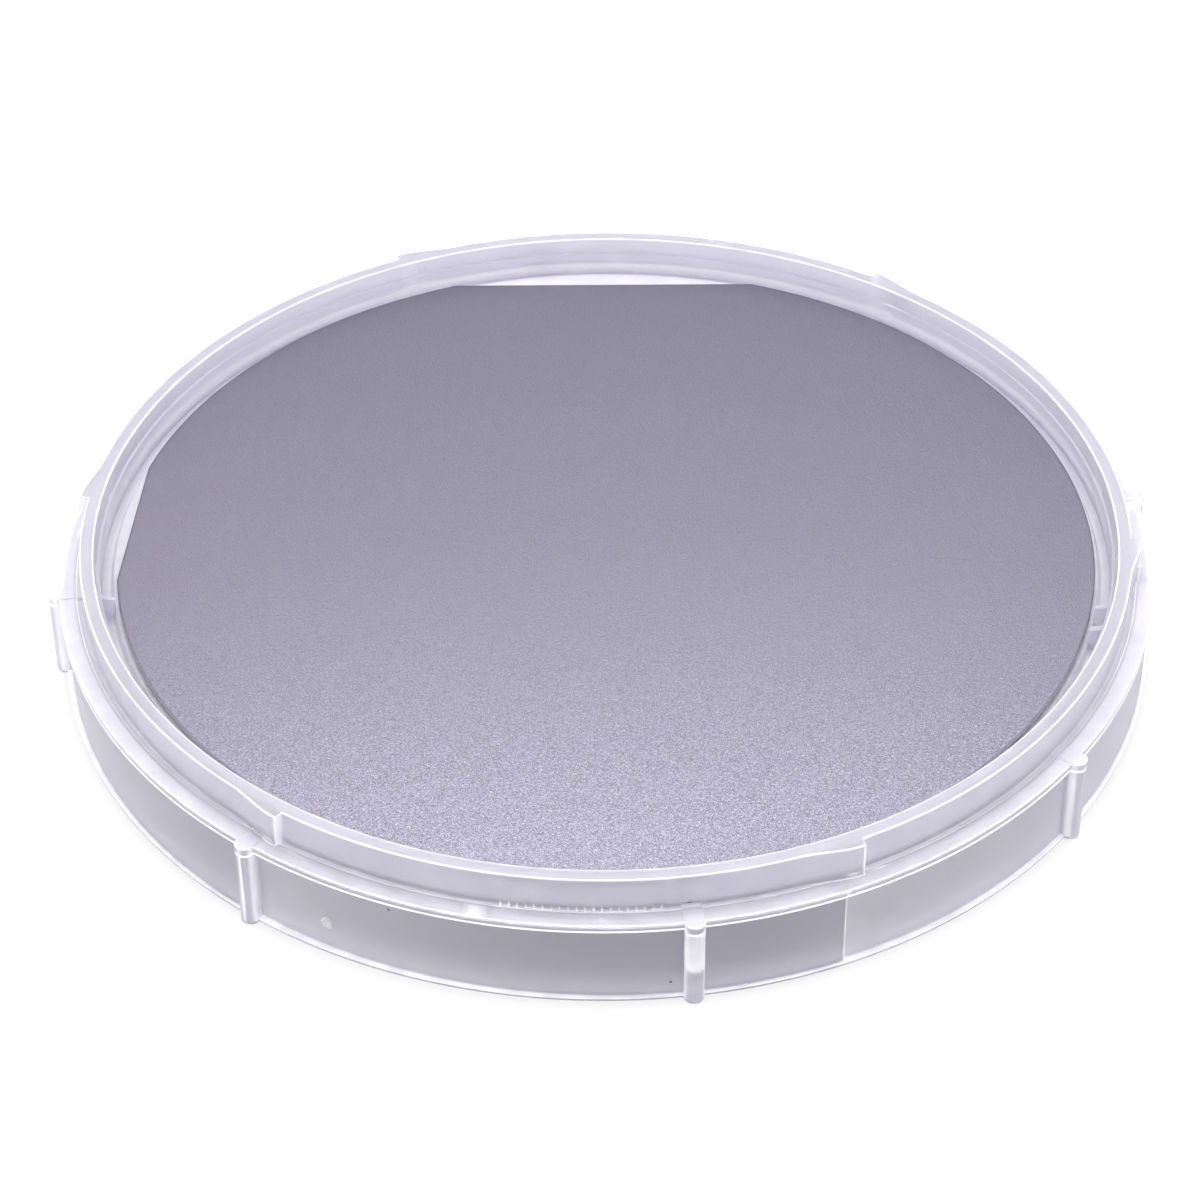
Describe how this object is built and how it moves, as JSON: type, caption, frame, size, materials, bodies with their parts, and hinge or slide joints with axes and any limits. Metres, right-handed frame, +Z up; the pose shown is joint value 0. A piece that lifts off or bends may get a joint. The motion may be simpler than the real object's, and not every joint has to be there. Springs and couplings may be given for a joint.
{
  "type": "petri dish",
  "caption": "Shallow round translucent dish with a collar, cams, a ledge and a grip-lugged skirt, open at the top, holding a loose frosted disc with two flats.",
  "frame": {"origin": "middle of the dish's foot, on the surface that it stands on", "axes": "+Z up out of the pocket; the disc's long flat faces +Y and its short flat faces -X"},
  "size_m": [0.1128, 0.1128, 0.0129],
  "materials": {
    "natural_plastic": "milky see-through moulding, satin",
    "frosted_grey": "lapped to an even matt grey with a fine sparkle"
  },
  "bodies": {
    "dish": {"dish_base": "natural_plastic"},
    "disc": {"frosted_disc": "frosted_grey"}
  },
  "joints": [
    {"name": "disc_lift", "type": "slide", "parent": "dish", "child": "disc", "axis": [0, 0, 1], "range_m": [0, 0.03]}
  ]
}
